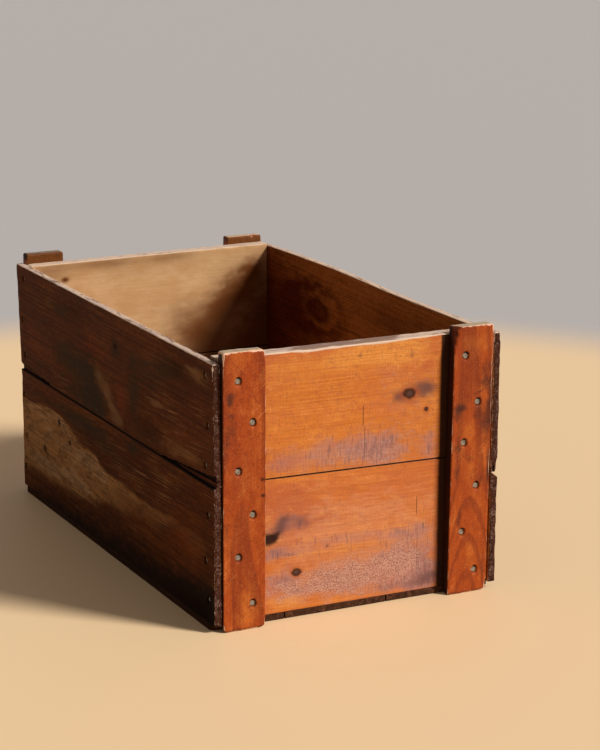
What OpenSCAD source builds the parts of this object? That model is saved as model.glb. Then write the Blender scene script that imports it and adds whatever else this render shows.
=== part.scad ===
// Open-topped wooden apple crate: sawn boards nailed together, with an upright batten at each corner.
// Millimetres, +Z up. The origin is on the floor under the middle of the crate, and the front end
// wall faces -Y. The rear end is the front end turned half a turn about Z.

/* [Inside of the box] */
// Inside width, which is also the length of the end boards
inner_w = 292; // [220:1:400]
// Inside length between the end walls
inner_len = 478; // [320:1:640]

/* [End walls] */
// Thickness of the end boards
end_t = 16; // [14:0.5:22]
// Face height of the upper end board at its middle
end_upper_h = 124; // [100:1:160]
// Face height of the lower end board at its middle
end_lower_h = 134; // [110:1:170]
// How far the seam of the front end wall falls from its left edge to its right edge
end_seam_fall = 3.8; // [0:0.1:6]

/* [Battens] */
// Width of a batten
batten_w = 44; // [38:1:60]
// Thickness of a batten
batten_t = 12; // [9:0.5:16]
// How far a batten stands above the end wall
batten_rise = 8; // [5:0.5:20]
// Gap between a batten and the side wall beside it
batten_inset = 0.5; // [0.2:0.1:0.9]
// Corner radius of a batten's ends, seen from the front
batten_corner_r = 3; // [1:0.5:6]

/* [Side walls] */
// Thickness of the side boards
side_t = 8; // [6.5:0.5:12]
// How far the left side wall's top edge lies below the end walls' top edge
left_top_drop = 3; // [0:0.5:10]
// How far the right side wall's top edge lies below the end walls' top edge
right_top_drop = 0; // [0:0.5:10]
// How far the seam of the left side wall lies above the middle of an end wall's seam
left_seam_rise = 2; // [-3:0.5:4]
// How far the seam of the right side wall lies below the middle of an end wall's seam
right_seam_drop = 20; // [16:0.5:24]
// How far the left side boards reach past the front end wall
left_front_reach = 9.5; // [0:0.5:11.5]
// How much further back the left upper side board's front end lies at its top edge, where it is cut aslant
left_front_slant = 3; // [0:0.5:8]
// How far the right side boards reach past the front end wall
right_front_reach = 11.5; // [0:0.5:11.5]
// How far the side boards reach past the rear end wall
rear_reach = 1; // [0:0.5:11.5]
// How much further back the left upper side board reaches at its top edge, where its end is cut aslant
left_rear_slant = 10; // [0:0.5:10.5]

/* [Bottom] */
// Thickness of the bottom boards
bottom_t = 7; // [6:0.5:10]
// Width of the left bottom board
bottom_left_w = 78; // [60:1:110]
// Width of the right bottom board
bottom_right_w = 118; // [60:1:120]
// Gap between neighbouring bottom boards
bottom_gap = 0.8; // [0.2:0.1:0.9]
// How far the bottom boards stop short of the rear end wall's outer face
bottom_short = 3; // [0:0.5:4]
// Corner radius of the bottom's four outer corners, seen from above
bottom_corner_r = 7; // [2:0.5:8]

/* [Tongues and grooves] */
// Height of the tongues
tongue_h = 6; // [4:0.5:8]
// Thickness of a side board's tongue
side_tongue_t = 2.6; // [2:0.1:3.4]
// Thickness of an end board's tongue
end_tongue_t = 5; // [4:0.5:7]
// Clearance of a tongue on each side in its groove
tongue_fit = 0.2; // [0.1:0.05:0.4]
// Open line that shows between two boards of a wall
seam_gap = 0.6; // [0.2:0.1:0.9]

/* [Broken groove lips] */
// Length of the break at the front end of the left upper side board
front_break_len = 124; // [60:1:140]
// Height of that break at the board's end
front_break_h = 11.5; // [8:0.5:14]
// Length of the break at the rear end of the left upper side board
rear_break_len = 90; // [50:1:140]
// Height of that break
rear_break_h = 7.5; // [6.5:0.5:10]

/* [Nails] */
// Diameter of a nail's shank
shank_d = 2.4; // [1.8:0.1:3]
// Diameter of a nail's head
head_d = 5.6; // [5:0.1:7]
// Thickness of a nail's head
head_t = 1; // [0.8:0.1:1.4]
// How deep the heads are punched below the wood
head_sink = 2.2; // [0.6:0.1:2.6]
// Crushed ring of open space around a head
head_gap = 0.9; // [0.3:0.1:1]
// Clearance of a shank in its hole
shank_fit = 0.1; // [0.05:0.05:0.2]
// Length of a nail's point
point_len = 3; // [2:0.5:4]
// Length of the batten nails
batten_nail_len = 24; // [18:0.5:24]
// Length of the side nails
side_nail_len = 30; // [24:1:38]
// Length of the bottom nails
bottom_nail_len = 24; // [18:1:26]
// Nails that each batten drives into each of the two end boards
nails_per_board = 3; // [2:1:3]
// Height of the lowest nail above the lower end board's lower edge
nail_low_margin = 19; // [14:1:30]
// Depth of the lower end board's highest nail below the seam
nail_below_seam = 27; // [16:1:34]
// Height of the upper end board's lowest nail above the seam
nail_above_seam = 17; // [14:1:30]
// Depth of the highest nail below the upper end board's upper edge
nail_top_margin = 19; // [14:1:30]
// Distance of the outer column of nails from a batten's outer edge
nail_outer_in = 16; // [14:0.5:20]
// Distance between the two columns of nails in a batten
nail_column_gap = 15; // [10:0.5:16]
// Distance of the side nails from the middle of the end wall's thickness
side_nail_stagger = 3; // [0:0.5:4]
// Distance of the bottom nails from the inner face of the end wall
bottom_nail_in = 6; // [5:0.5:8]
// Distance of the bottom nails from the edges of their board
bottom_nail_edge = 18; // [14:1:24]

/* [Hidden] */

$fn = 48;

// The two side walls are told apart by the sign of X, and the two ends by a turn about Z
left = -1;
right = 1;
front = 0;
rear = 180;

// How far each hand-driven batten nail strays up from its even row, from the lowest nail to the highest
left_nail_drift = [-0.5, 2.8, -0.8, -0.8, 1.2, -1.8];
right_nail_drift = [-3, -6, -3.6, -2.3, -6.3, -2.6];
// How far each side nail passes above the batten nails' even row, clear of them and of its own wall's seam
left_side_nail_lift = [4, -2.6, -0.2, 3, -1.2, 2];
right_side_nail_lift = [4, -4, -9, 4.5, 4, 4];

// Overlap of a cutting tool past the face that it cuts
cut = 1;

end_bottom_z = bottom_t;
end_seam_z = end_bottom_z + end_lower_h;
end_top_z = end_seam_z + end_upper_h;
side_bottom_z = bottom_t;
batten_h = end_top_z + batten_rise;

half_w = inner_w / 2;
outer_half_w = half_w + side_t;
end_inner_y = -inner_len / 2;
end_outer_y = end_inner_y - end_t;
batten_face_y = end_outer_y - batten_t;
batten_outer_x = half_w - batten_inset;

bottom_front_y = end_outer_y;
bottom_len = -2 * end_outer_y - bottom_short;
bottom_middle_w = 2 * outer_half_w - bottom_left_w - bottom_right_w - 2 * bottom_gap;
bottom_middle_x = -outer_half_w + bottom_left_w + bottom_gap;
bottom_right_x = outer_half_w - bottom_right_w;

groove_spare = 0.8;
side_groove_t = side_tongue_t + 2 * tongue_fit;
side_lip_t = (side_t - side_groove_t) / 2;
end_groove_t = end_tongue_t + 2 * tongue_fit;
groove_h = tongue_h + groove_spare;

lower_pitch = (end_lower_h - nail_low_margin - nail_below_seam) / (nails_per_board - 1);
upper_pitch = (end_upper_h - nail_above_seam - nail_top_margin) / (nails_per_board - 1);
nail_rows = [
  for (i = [0 : nails_per_board - 1]) end_bottom_z + nail_low_margin + lower_pitch * i,
  for (i = [0 : nails_per_board - 1]) end_seam_z + nail_above_seam + upper_pitch * i
];

end_color = "#b8642f";
batten_color = "#a04f26";
side_color = "#5d3a26";
bottom_color = "#4d3a2e";
nail_color = "#85817a";

function drift(side, i) = side == left ? left_nail_drift[i] : right_nail_drift[i];
function in_outer_column(side, i) = (i % 2 == 1) == (side == left);
function column_in(side, i) = nail_outer_in + (in_outer_column(side, i) ? 0 : nail_column_gap);
function front_reach(side) = side == left ? left_front_reach : right_front_reach;
function front_slant(side) = side == left ? left_front_slant : 0;
function rear_slant(side) = side == left ? left_rear_slant : 0;
function side_seam_z(side) = end_seam_z + (side == left ? left_seam_rise : -right_seam_drop);
function side_top_z(side) = end_top_z - (side == left ? left_top_drop : right_top_drop);
function side_inner_x(side) = side == left ? -outer_half_w : half_w;
function side_nail_lift(wall, i) = wall == left ? left_side_nail_lift[i] : right_side_nail_lift[i];
// The side wall that stands at one side of an end, once the end is turned into its place
function wall_at(side, turn) = turn == front ? side : -side;
// The seam of the front end wall from past its left edge to past its right edge, raised by a height
function seam_line(past, height) = [
  for (x = [-half_w - past, half_w + past]) [x, end_seam_z - end_seam_fall * x / inner_w + height]
];
function flipped(points) = [for (i = [len(points) - 1 : -1 : 0]) points[i]];
function side_front_y(side) = end_outer_y - front_reach(side);
function side_rear_y() = -end_outer_y + rear_reach;

// Nail with the top of its head at the origin, driven along +Z
module nail(len) {
  head_r = head_d / 2;
  shank_r = shank_d / 2;
  rotate_extrude()
    polygon([
      [0, 0], [head_r, 0], [head_r, head_t], [shank_r, head_t],
      [shank_r, len - point_len], [0, len]
    ]);
}

// Hole that such a nail leaves in the wood, open to the surface above its head
module nail_hole(len) {
  translate([0, 0, -head_sink - cut])
    cylinder(h = head_sink + cut + head_t, d = head_d + 2 * head_gap);
  cylinder(h = len + shank_fit, d = shank_d + 2 * shank_fit);
}

// The places of the front end's batten nails on one side
module at_batten_nails(side)
  for (i = [0 : len(nail_rows) - 1])
    translate([
      side * (batten_outer_x - column_in(side, i)),
      batten_face_y + head_sink,
      nail_rows[i] + drift(side, i)
    ])
      rotate([-90, 0, 0])
        children();

// The places of the nails through the ends of a side wall, at one side of the front end
module at_side_nails(side, wall)
  for (i = [0 : len(nail_rows) - 1])
    translate([
      side * (outer_half_w - head_sink),
      end_outer_y + end_t / 2 + (i % 2 == 0 ? -1 : 1) * side_nail_stagger,
      nail_rows[i] + side_nail_lift(wall, i)
    ])
      rotate([0, -90 * side, 0])
        children();

// The places of the nails through the bottom boards at one end
module at_bottom_nails(turn) {
  edges = [
    [-outer_half_w, bottom_left_w],
    [bottom_middle_x, bottom_middle_w],
    [bottom_right_x, bottom_right_w]
  ];
  front_y = end_inner_y - bottom_nail_in;
  for (edge = edges)
    for (x = [edge[0] + bottom_nail_edge, edge[0] + edge[1] - bottom_nail_edge])
      translate([x, turn == front ? front_y : -front_y, head_sink])
        children();
}

// Cuts a square corner at the origin, in the first quadrant, to a round one
module corner_cut(r)
  difference() {
    translate([-cut, -cut])
      square(r + cut);
    translate([r, r])
      circle(r);
  }

// Rectangle with the chosen corners rounded, given as factors of its width and height
module rounded_rect(w, h, r, corners)
  difference() {
    square([w, h]);
    for (c = corners)
      translate([c[0] * w, c[1] * h])
        mirror([c[0], 0])
          mirror([0, c[1]])
            corner_cut(r);
  }

// Holes of every batten and side nail that enters an end wall, before the end is turned into its place
module end_wall_holes(turn) {
  for (side = [left, right]) {
    at_batten_nails(side)
      nail_hole(batten_nail_len);
    at_side_nails(side, wall_at(side, turn))
      nail_hole(side_nail_len);
  }
}

// Outline along X and Z, carried through the given thickness about the middle of the front end wall
module through_end(thickness, outline)
  translate([0, (end_inner_y + end_outer_y + thickness) / 2, 0])
    rotate([90, 0, 0])
      linear_extrude(thickness)
        polygon(outline);

module end_upper_board(turn)
  color(end_color)
    rotate([0, 0, turn])
      difference() {
        through_end(end_t, concat(seam_line(0, seam_gap), [[half_w, end_top_z], [-half_w, end_top_z]]));
        through_end(end_groove_t, concat(seam_line(cut, -cut), flipped(seam_line(cut, groove_h))));
        end_wall_holes(turn);
      }

module end_lower_board(turn)
  color(end_color)
    difference() {
      rotate([0, 0, turn])
        difference() {
          union() {
            through_end(end_t, concat([[-half_w, end_bottom_z], [half_w, end_bottom_z]], flipped(seam_line(0, 0))));
            through_end(end_tongue_t, concat(seam_line(0, -cut), flipped(seam_line(0, tongue_h))));
          }
          end_wall_holes(turn);
        }
      at_bottom_nails(turn)
        nail_hole(bottom_nail_len);
    }

module batten(side, turn)
  color(batten_color)
    rotate([0, 0, turn])
      difference() {
        translate([side == left ? -batten_outer_x : batten_outer_x - batten_w, end_outer_y, 0])
          rotate([90, 0, 0])
            linear_extrude(batten_t)
              rounded_rect(batten_w, batten_h, batten_corner_r, [[0, 0], [1, 0], [0, 1], [1, 1]]);
        at_batten_nails(side)
          nail_hole(batten_nail_len);
      }

// Holes of the nails at both ends of one side wall
module side_wall_holes(side) {
  at_side_nails(side, side)
    nail_hole(side_nail_len);
  rotate([0, 0, rear])
    at_side_nails(-side, side)
      nail_hole(side_nail_len);
}

// Outline along Y and Z, with heights from a side wall's seam, carried along X from the given place
module through_side(side, x, thickness, outline)
  translate([x, 0, side_seam_z(side)])
    rotate([90, 0, 90])
      linear_extrude(thickness)
        polygon(outline);

// Pieces that have broken off the outer lip of the left side wall's groove, at its front end and at its rear end
module left_lip_breaks() {
  front_y = side_front_y(left);
  rear_y = side_rear_y();
  past_rear_y = rear_y + left_rear_slant + cut;
  outlines = [
    [
      [front_y - cut, -cut], [front_y + front_break_len, -cut],
      [front_y + front_break_len, groove_h], [front_y - cut, front_break_h]
    ],
    [
      [rear_y - rear_break_len, -cut], [past_rear_y, -cut],
      [past_rear_y, rear_break_h], [rear_y - rear_break_len, groove_h]
    ]
  ];
  for (outline = outlines)
    through_side(left, -outer_half_w - cut, side_lip_t + cut, outline);
}

module side_upper_board(side) {
  front_y = side_front_y(side);
  rear_y = side_rear_y();
  top_y = rear_y + rear_slant(side);
  height = side_top_z(side) - side_seam_z(side);
  inner_x = side_inner_x(side);
  color(side_color)
    difference() {
      through_side(side, inner_x, side_t, [
        [front_y, seam_gap], [rear_y, seam_gap], [top_y, height], [front_y + front_slant(side), height]
      ]);
      translate([inner_x + side_lip_t, front_y - cut, side_seam_z(side) - cut])
        cube([side_groove_t, top_y - front_y + 2 * cut, groove_h + cut]);
      if (side == left)
        left_lip_breaks();
      side_wall_holes(side);
    }
}

module side_lower_board(side) {
  front_y = side_front_y(side);
  rear_y = side_rear_y();
  inner_x = side_inner_x(side);
  color(side_color)
    difference() {
      union() {
        translate([inner_x, front_y, side_bottom_z])
          cube([side_t, rear_y - front_y, side_seam_z(side) - side_bottom_z]);
        translate([inner_x + (side_t - side_tongue_t) / 2, front_y, side_seam_z(side) - cut])
          cube([side_tongue_t, rear_y - front_y, tongue_h + cut]);
      }
      side_wall_holes(side);
    }
}

// Bottom board from its left edge, with the chosen corners rounded
module bottom_board(x, w, corners)
  color(bottom_color)
    difference() {
      translate([x, bottom_front_y, 0])
        linear_extrude(bottom_t)
          rounded_rect(w, bottom_len, bottom_corner_r, corners);
      for (turn = [front, rear])
        at_bottom_nails(turn)
          nail_hole(bottom_nail_len);
    }

module batten_nails(side, turn)
  color(nail_color)
    rotate([0, 0, turn])
      at_batten_nails(side)
        nail(batten_nail_len);

module side_nails(side, turn)
  color(nail_color)
    rotate([0, 0, turn])
      at_side_nails(wall_at(side, turn), side)
        nail(side_nail_len);

module bottom_nails(turn)
  color(nail_color)
    at_bottom_nails(turn)
      nail(bottom_nail_len);

end_upper_board(front);  // front_end_upper_board
end_lower_board(front);  // front_end_lower_board
end_upper_board(rear);  // rear_end_upper_board
end_lower_board(rear);  // rear_end_lower_board
batten(left, front);  // front_left_batten
batten(right, front);  // front_right_batten
batten(right, rear);  // rear_left_batten
batten(left, rear);  // rear_right_batten
side_upper_board(left);  // left_side_upper_board
side_lower_board(left);  // left_side_lower_board
side_upper_board(right);  // right_side_upper_board
side_lower_board(right);  // right_side_lower_board
bottom_board(-outer_half_w, bottom_left_w, [[0, 0], [0, 1]]);  // bottom_left_board
bottom_board(bottom_middle_x, bottom_middle_w, []);  // bottom_middle_board
bottom_board(bottom_right_x, bottom_right_w, [[1, 0], [1, 1]]);  // bottom_right_board
batten_nails(left, front);  // front_left_batten_nails
batten_nails(right, front);  // front_right_batten_nails
batten_nails(right, rear);  // rear_left_batten_nails
batten_nails(left, rear);  // rear_right_batten_nails
side_nails(left, front);  // left_side_front_nails
side_nails(left, rear);  // left_side_rear_nails
side_nails(right, front);  // right_side_front_nails
side_nails(right, rear);  // right_side_rear_nails
bottom_nails(front);  // bottom_front_nails
bottom_nails(rear);  // bottom_rear_nails
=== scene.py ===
import math
from types import SimpleNamespace

import bpy
import numpy as np
from mathutils import Matrix, Vector


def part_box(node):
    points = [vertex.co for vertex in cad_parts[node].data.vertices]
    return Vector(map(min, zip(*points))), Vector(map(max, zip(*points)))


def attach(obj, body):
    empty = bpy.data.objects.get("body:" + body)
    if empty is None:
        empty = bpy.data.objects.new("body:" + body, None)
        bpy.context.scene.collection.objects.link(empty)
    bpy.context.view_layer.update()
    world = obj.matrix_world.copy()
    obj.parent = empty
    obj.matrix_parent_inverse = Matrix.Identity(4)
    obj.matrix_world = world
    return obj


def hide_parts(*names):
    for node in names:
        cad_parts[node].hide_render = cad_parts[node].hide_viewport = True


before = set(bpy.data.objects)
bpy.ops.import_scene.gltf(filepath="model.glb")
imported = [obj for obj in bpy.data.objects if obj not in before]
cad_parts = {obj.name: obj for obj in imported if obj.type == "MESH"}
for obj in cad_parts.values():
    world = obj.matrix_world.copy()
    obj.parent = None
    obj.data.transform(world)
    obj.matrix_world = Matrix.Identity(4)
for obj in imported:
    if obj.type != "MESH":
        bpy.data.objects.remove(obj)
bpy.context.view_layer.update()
mm = 0.001
slack = 0.01  # mm, allowed in telling whether a point lies on a line of its grid
tiny = 1e-9  # mm, keeps a division from meeting zero
axisIndex = {"x": 0, "y": 1, "z": 2}
print("frame loaded:", len(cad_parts), "nodes")


# Eased step: 0 below low, 1 above high, a smooth S between
def easeStep(low, high, value):
    t = np.clip((value - low) / (high - low), 0, 1)
    return t * t * (3 - 2 * t)


# A steady value from 0 to 1 for each whole number: the fraction of a large sine
def scatter(cell, seed):
    return np.modf(np.abs(np.sin(cell * 12.9898 + seed * 78.233) * 43758.5453))[0]


# Smooth noise on a line: scattered values at whole numbers, eased from one to the next
def lineNoise(t, seed):
    cell = np.floor(t)
    ease = easeStep(0, 1, t - cell)
    return scatter(cell, seed) * (1 - ease) + scatter(cell + 1, seed) * ease


# Smooth noise on a plane: line noise on the two nearest rows, eased from one row to the next
def planeNoise(s, t, seed):
    row = np.floor(t)
    ease = easeStep(0, 1, t - row)
    return lineNoise(s, seed + row * 17.31) * (1 - ease) + lineNoise(s, seed + (row + 1) * 17.31) * ease


# Marks on a board's face, each a soft ellipse [along, across, half length, half width, strength] that falls
# off as the exponential of its squared radius, with its outline bent by noise in step with its size
def spots(u, v, marks, seed, bend=0.5):
    total = np.zeros_like(u)
    bendU = planeNoise(u / 11, v / 7, seed + 40) + 0.5 * planeNoise(u / 4, v / 3, seed + 42) - 0.75
    bendV = planeNoise(u / 13, v / 6, seed + 41) + 0.5 * planeNoise(u / 5, v / 3, seed + 43) - 0.75
    for along, across, halfLength, halfWidth, strength in marks:
        shareU = (u - along) / halfLength + bendU * bend
        shareV = (v - across) / halfWidth + bendV * bend
        total += strength * np.exp(-(shareU ** 2 + shareV ** 2))
    return total


# Streaks of wood between two lines along the board, each point of one [along, lower line, upper line,
# strength]: the strength times an eased step over either line, both made ragged by noise
def streakBands(u, v, bands, seed, soft=4.0):
    total = np.zeros_like(u)
    ragged = 9 * (planeNoise(u / 44, v / 11, seed + 44) - 0.5)
    ragged += 3 * (planeNoise(u / 15, v / 6, seed + 45) - 0.5)
    for points in bands:
        along, low, high, strength = np.array(points, float).T
        overLow = easeStep(-soft * 2, soft * 4, v - np.interp(u, along, low) + ragged)
        underHigh = easeStep(-soft, soft, np.interp(u, along, high) - v + ragged)
        total += np.interp(u, along, strength) * overLow * underHigh
    return total


# Joints cut on the boards, the same sizes as in the solids, in mm
joint = {
    "tongueHeight": 6.0,
    "grooveDepth": 6.2,
    "tongueFit": 0.2,
    "sideTongue": 2.6,
    "endTongue": 5.0,
    "seamFall": 3.8,
}

# Punched nail holes, in mm: radius, stretch along a batten's grain, half the width of the sloping wall,
# depth, and the radius and depth of the bruise around it
nailHole = {"radius": 3.35, "stretch": 1.25, "wall": 0.45, "depth": 3.2, "bruise": 6.0, "bruiseDepth": 0.2}

# Grid lines, in mm: from an edge inwards, from a nail's middle outwards and beside a crack, then the step
# through the thickness, the least gap between two lines and the room that a fixed line needs
gridStep = {
    "edge": (0, 0.3, 0.7, 1.2, 1.9, 2.8, 4.0),
    "hole": (0, 1.3, 2.4, 3.1, 3.5, 3.9, 4.5, 5.6),
    "crack": (-0.9, -0.4, 0.4, 0.9),
    "thickness": 2.0,
    "least": 0.28,
    "room": 0.2,
}

# Damage, in mm: the height at which the face above a broken lip is whole again, how far down an edge slopes
# under a lost tongue, how far in a slanted end reaches, half a crack's width, and a face's deepest hollow
damage = {"lipRoof": 24.0, "tongueSlope": 30.0, "slantReach": 14.0, "crackHalf": 0.55, "hollow": 0.25}

# Grain, in mm: how far it waves across the board, and how far the pith sways. Late wood, as shares of a
# year's ring: where it starts, where it is full and where it stops.
waviness = {"figure": 6.0, "sway": 14.0}
lateWood = {"start": 0.25, "full": 0.85, "stop": 0.88}


# Grid lines from 0 to length: close together at both ends, where edges are worn, even between,
# and close around each listed place
def gridLines(length, step, places=(), fixed=()):
    ends = np.array(gridStep["edge"])
    ends = ends[ends < length * 0.45]
    last = ends[-1]
    even = np.linspace(last, length - last, max(2, int(round((length - 2 * last) / step)) + 1))
    ring = np.array(gridStep["hole"])
    near = [place + side * ring for place in places for side in (-1, 1)]
    lines = np.concatenate([ends, length - ends, even] + near)
    lines = np.sort(lines[(lines >= 0) & (lines <= length)])
    lines = lines[np.concatenate([[True], np.diff(lines) > gridStep["least"]])]
    lines[-1] = length
    for line in fixed:
        lines = np.append(lines[np.abs(lines - line) > gridStep["room"]], line)
    return np.sort(lines)


# Skin of a section carried along a straight path: the section is a grid of solid or empty cells, and a
# face stands wherever a solid cell meets an empty one, on every length step, with both ends closed
def sectionSkin(uLines, vLines, wLines, solid):
    count = (len(uLines), len(vLines), len(wLines))
    index = np.arange(np.prod(count)).reshape(count)
    padded = np.pad(solid, 1)
    quads = []
    step = np.arange(count[0] - 1)[:, None]
    for axis in (0, 1):
        low = padded[:-1, 1:-1] if axis == 0 else padded[1:-1, :-1]
        high = padded[1:, 1:-1] if axis == 0 else padded[1:-1, 1:]
        for outward, mask in ((1, low & ~high), (-1, high & ~low)):
            j, k = np.nonzero(mask)
            if axis == 0:
                corners = [(0, j, k), (0, j, k + 1), (1, j, k + 1), (1, j, k)]
            else:
                corners = [(0, j, k), (1, j, k), (1, j + 1, k), (0, j + 1, k)]
            ring = [index[step + du, cj, ck] for du, cj, ck in corners]
            quads.append(np.stack(ring[::outward], -1).reshape(-1, 4))
    j, k = np.nonzero(solid)
    for end, outward in ((0, -1), (count[0] - 1, 1)):
        ring = [index[end, j, k], index[end, j + 1, k], index[end, j + 1, k + 1], index[end, j, k + 1]]
        quads.append(np.stack(ring[::outward], -1))
    used, quads = np.unique(np.concatenate(quads), return_inverse=True)
    u, v, w = np.unravel_index(used, count)
    return uLines[u], vLines[v], wLines[w], quads.reshape(-1, 4)


# Where the nails of a node stand: their tips are the mesh points furthest in from the board's outer face
def nailPlaces(node, outward):
    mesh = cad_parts[node].data
    points = np.zeros(len(mesh.vertices) * 3)
    mesh.vertices.foreach_get("co", points)
    points = points.reshape(-1, 3) / mm
    depth = points[:, axisIndex[outward[1]]] * (1 if outward[0] == "-" else -1)
    return np.unique(np.round(points[depth > depth.max() - 0.05], 1), axis=0)


# A board's grid in its own frame, in mm from its lowest corner: u runs along the grain, v across the face,
# w from the inner face to the outer one. The section is an oblong, with a tongue above or a groove below.
def boardGrid(name, board):
    grid = SimpleNamespace(seed=board["seed"], kind=board.get("edgeJoint", "plain"))
    grid.lo, hi = (np.array(corner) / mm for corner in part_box(name))
    grid.axes = [axisIndex[letter] for letter in (board["along"], board["across"], board["outward"][1])]
    length, width, thick = (hi - grid.lo)[grid.axes]
    places = [nailPlaces(node, board["outward"]) for node in board["nails"]]
    nails = np.concatenate([np.zeros((0, 3))] + places)
    nailU, nailV = (nails - grid.lo)[:, grid.axes[:2]].T
    within = (nailU > 0) & (nailU < length) & (nailV > 0) & (nailV < width)
    grid.nailU = nailU[within]
    grid.nailV = nailV[within] + board.get("lean", 0) * (1 - grid.nailU / length)

    bodyHigh = width
    jointV, jointW = [], []
    if grid.kind == "tongue":
        bodyHigh = width - joint["tongueHeight"]
        jointV = [bodyHigh]
        jointW = [(thick - board["tongue"]) / 2, (thick + board["tongue"]) / 2]
    if grid.kind == "groove":
        half = board["tongue"] / 2 + joint["tongueFit"]
        jointV = [joint["grooveDepth"]]
        jointW = [thick / 2 - half, thick / 2 + half]
    cuts = list(board.get("breakLines", []))
    cuts += [crack[0] + aside for crack in board.get("cracks", []) for aside in gridStep["crack"]]
    uLines = gridLines(length, board["step"], grid.nailU, cuts)
    vLines = gridLines(width, board["step"], grid.nailV, jointV)
    wLines = gridLines(thick, gridStep["thickness"], (), jointW)
    vMid, wMid = (vLines[1:] + vLines[:-1]) / 2, (wLines[1:] + wLines[:-1]) / 2
    solid = np.ones((len(vMid), len(wMid)), bool)
    if grid.kind == "tongue":
        solid[np.ix_(vMid > bodyHigh, (wMid < jointW[0]) | (wMid > jointW[1]))] = False
    if grid.kind == "groove":
        solid[np.ix_(vMid < jointV[0], (wMid > jointW[0]) & (wMid < jointW[1]))] = False
    grid.u, grid.v0, grid.w, grid.quads = sectionSkin(uLines, vLines, wLines, solid)
    grid.v = grid.v0.copy()
    grid.length, grid.width, grid.thick, grid.bodyHigh = length, width, thick, bodyHigh
    grid.jointV, grid.jointW = jointV, jointW
    return grid


# Broken joints: a broken lip's lower edge climbs to the height of the break and the face above closes up;
# under a lost tongue the edge slopes away. Gives painted shade in the joint's groove and gap, partly dirt,
# black above the tongue line where the gap lies in shadow.
def breakJoint(board, grid):
    u, v0, w, bodyHigh, seed = grid.u, grid.v0, grid.w, grid.bodyHigh, grid.seed
    shadeAndDirt = np.zeros_like(u)
    if grid.kind == "groove":
        between = (w > grid.jointW[0] - slack) & (w < grid.jointW[1] + slack)
        shadeAndDirt = 1.2 * (between & (v0 < grid.jointV[0] + slack))
    if grid.kind == "tongue":
        bareHeight = np.interp(u, *np.array(board.get("tongueLine", [(0, 9.0)]), float).T)
        shadeAndDirt = 0.15 * (v0 > bodyHigh + slack) + 1.5 * easeStep(-0.3, 0.5, v0 - bodyHigh - bareHeight)
    roof = damage["lipRoof"]
    for start, end, startHeight, endHeight in board.get("lipBreaks", []):
        share = np.clip((u - start) / (end - start), 0, 1)
        ragged = (lineNoise(u / 5, seed + 3) - 0.5) * 1.2 + (lineNoise(u / 17, seed + 4) - 0.5) * 1.6
        height = startHeight + (endHeight - startHeight) * share + ragged
        inBreak = (u >= start - slack) & (u <= end + slack) & (w > grid.jointW[1] - slack)
        lifted = height + v0 * (roof - height) / roof
        grid.v = np.where(inBreak & (v0 < roof), np.maximum(lifted, grid.v), grid.v)
    if "brokenTongue" in board:
        reach, drop = board["brokenTongue"]
        gone = 0.98 * np.clip(1 - u / reach, 0, 1)
        sloping = easeStep(bodyHigh - damage["tongueSlope"], bodyHigh, v0)
        grid.v -= np.clip(v0 - bodyHigh, 0, None) * np.sqrt(gone)
        grid.v -= drop * gone * (0.5 + 0.7 * w / grid.thick) * sloping
    return shadeAndDirt


# Where each point lies: its distance in mm from the ends, the long edges and the rim, and shares from 0 to 1
# for the upper half, the outer half, the edge beside a seam and the inner face
def findEdges(board, grid):
    u, v, w, bodyHigh = grid.u, grid.v, grid.w, grid.bodyHigh
    grid.fromEnd = np.minimum(u, grid.length - u)
    grid.fromSide = np.minimum(v, np.abs(bodyHigh - v))
    grid.fromRim = np.minimum(grid.fromEnd, np.minimum(v, bodyHigh - v))
    grid.atTop = easeStep(0.4, 0.6, v / bodyHigh)
    grid.atOuter = easeStep(0.3, 0.7, w / grid.thick)
    seamFar = {"groove": v, "tongue": np.abs(bodyHigh - v), "plain": np.full_like(v, np.inf)}[grid.kind]
    grid.seamEdge = 1 - easeStep(3, 8, seamFar)
    inset = board.get("innerInset", 0)
    grid.inner = (1 - easeStep(0.05, 0.6, w)) * easeStep(inset - 1, inset, grid.fromRim)


# A chip: 1 at its middle, falling off as the exponential of the cubed distances along and across
def chipShape(grid, chip):
    along, across, halfLength, halfWidth = chip[:4]
    return np.exp(-np.abs((grid.u - along) / halfLength) ** 3 - np.abs((grid.v - across) / halfWidth) ** 3)


# Worn edges: each edge is a round whose radius wanders by noise, grows at the top, the ends and the chips,
# and is small along a seam. A point beyond a round is drawn in to it, towards its middle.
def wearEdges(board, grid):
    u, v, seed = grid.u, grid.v, grid.seed
    wander = 0.35 + 0.9 * lineNoise(u / 13 + v / 11, seed) * lineNoise(u / 4.1 + v / 5.3, seed + 1)
    radius = board["edge"] * (0.5 + wander)
    topWander = grid.atTop * lineNoise(u / 9, seed + 5) * lineNoise(u / 31, seed + 6) * 2
    radius += board.get("topWear", 0) * topWander
    endWander = (1 - easeStep(4, 14, grid.fromEnd)) * lineNoise(v / 7, seed + 7) * 1.4
    radius += board.get("endWear", 0) * endWander
    for chip in board.get("chips", []):
        depth, faces = chip[4:]
        side = grid.atOuter if faces == "outer" else 1.0
        radius += depth * chipShape(grid, chip) * side * (0.7 + 0.6 * planeNoise(u / 3, v / 3, seed + 8))
    radius = np.minimum(radius * (1 - grid.seamEdge) + 0.25 * grid.seamEdge, grid.thick * 0.46)
    half = np.array([grid.length, grid.bodyHigh, grid.thick]) / 2
    centred = np.stack([u, v, grid.w], -1) - half
    reach = half - radius[:, None]
    core = np.clip(centred, -reach, reach)
    over = centred - core
    shrink = np.minimum(1, radius / np.maximum(np.linalg.norm(over, axis=1), tiny))
    onBody = (v <= grid.bodyHigh)[:, None]
    return np.where(onBody, core + over * shrink[:, None], centred) + half


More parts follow.
